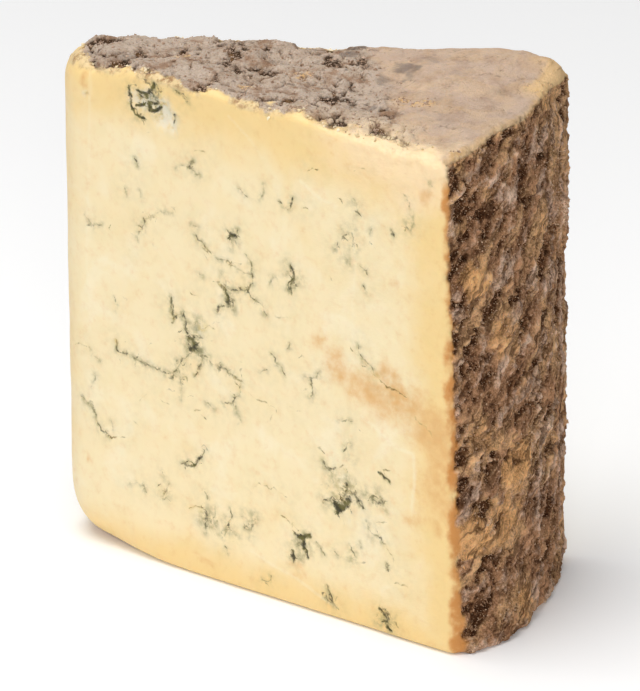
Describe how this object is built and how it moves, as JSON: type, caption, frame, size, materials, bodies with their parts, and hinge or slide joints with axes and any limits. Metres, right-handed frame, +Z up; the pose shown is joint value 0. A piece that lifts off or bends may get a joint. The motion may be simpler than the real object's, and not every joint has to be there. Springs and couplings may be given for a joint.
{
  "type": "blue cheese wedge",
  "caption": "Upright wedge of blue-veined drum cheese with flat cut faces, a blunt nose, a curved rough rind and a crust on top.",
  "frame": {"origin": "under the middle of the wedge's box, on the surface that it stands on", "axes": "+Z up, along the drum's axis; +X from the blunt nose to the rind; the front cut face looks towards -Y"},
  "size_m": [0.1166, 0.06, 0.1217],
  "materials": {
    "cheese": "soft, slightly waxy pale yellow paste with blue-green veins, under a rough brown-grey rind and crust"
  },
  "bodies": {
    "root": {"cheese_wedge": "cheese"}
  },
  "joints": []
}
